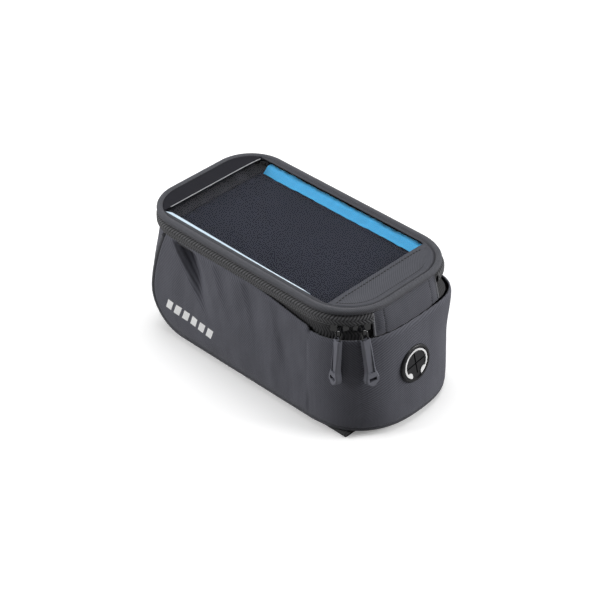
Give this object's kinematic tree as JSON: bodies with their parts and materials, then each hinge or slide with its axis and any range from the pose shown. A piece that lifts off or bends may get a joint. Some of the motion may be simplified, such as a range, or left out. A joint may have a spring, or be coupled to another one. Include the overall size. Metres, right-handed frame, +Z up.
{
  "type": "top tube phone bag",
  "caption": "Bicycle top tube bag of woven fabric under a zipped lid with a clear phone pocket, two zip sliders with moulded pulls and an earphone grommet.",
  "frame": {"origin": "middle of the underside of the folded straps, on the bag's centre plane", "axes": "+X towards the rider's end with the hinge and the grommet, -Y towards the printed side, +Z up"},
  "size_m": [0.1951, 0.102, 0.0913],
  "materials": {
    "twill": "dark grey diagonal twill",
    "weave": "fine dark grey weave",
    "trim": "black fabric binding",
    "navy": "dark navy lining",
    "blue": "bright blue lining",
    "window": "clear flexible film",
    "black_metal": "glossy black enamel",
    "grey_rubber": "moulded grey, satin",
    "black_rubber": "moulded black",
    "white_print": "white raised print",
    "webbing": "black hook and loop webbing",
    "board": "black plastic sheet"
  },
  "bodies": {
    "bag": {"side_wall": "twill", "front_base_panel": "twill", "body_piping": "trim", "lower_zip_tape": "trim", "lower_coil": "navy", "earphone_grommet": "black_rubber", "grommet_washer": "black_rubber", "headphone_sign": "white_print", "base_board": "board", "rear_strap": "webbing", "rear_strap_patch": "webbing", "front_strap": "webbing", "front_strap_patch": "webbing"},
    "lid": {"lid_piping": "trim", "lid_frame": "twill", "window": "window", "near_panel": "weave", "pocket_backing": "navy", "pocket_elastic": "trim", "pocket_side_lining": "blue", "upper_zip_tape": "trim", "upper_coil": "navy", "hinge_panel": "twill", "hinge_binding_left": "weave", "hinge_binding_right": "weave"},
    "slider_a": {"slider_a": "black_metal"},
    "pull_a": {"pull_wire_a": "black_metal", "pull_tab_a": "grey_rubber"},
    "slider_b": {"slider_b": "black_metal"},
    "pull_b": {"pull_wire_b": "black_metal", "pull_tab_b": "grey_rubber"}
  },
  "joints": [
    {"name": "lid_hinge", "type": "hinge", "parent": "bag", "child": "lid", "pos_m": [0.09005, 0, 0.0701], "axis": [0, 1, 0], "range_deg": [0, 110]},
    {"name": "slider_a_travel", "type": "hinge", "parent": "bag", "child": "slider_a", "pos_m": [0.05275, -0.016, 0.0781], "axis": [0, 0, 1], "range_deg": [-23, 0]},
    {"name": "slider_b_travel", "type": "hinge", "parent": "bag", "child": "slider_b", "pos_m": [0.05275, -0.016, 0.0781], "axis": [0, 0, 1], "range_deg": [-3, 0]},
    {"name": "pull_a_swing", "type": "hinge", "parent": "slider_a", "child": "pull_a", "pos_m": [0.07438, -0.04633, 0.0781], "axis": [-0.8141, -0.5807, 0], "range_deg": [0, 80]},
    {"name": "pull_b_swing", "type": "hinge", "parent": "slider_b", "child": "pull_b", "pos_m": [0.08451, -0.03546, 0.0781], "axis": [-0.5225, -0.8526, 0], "range_deg": [0, 80]}
  ]
}
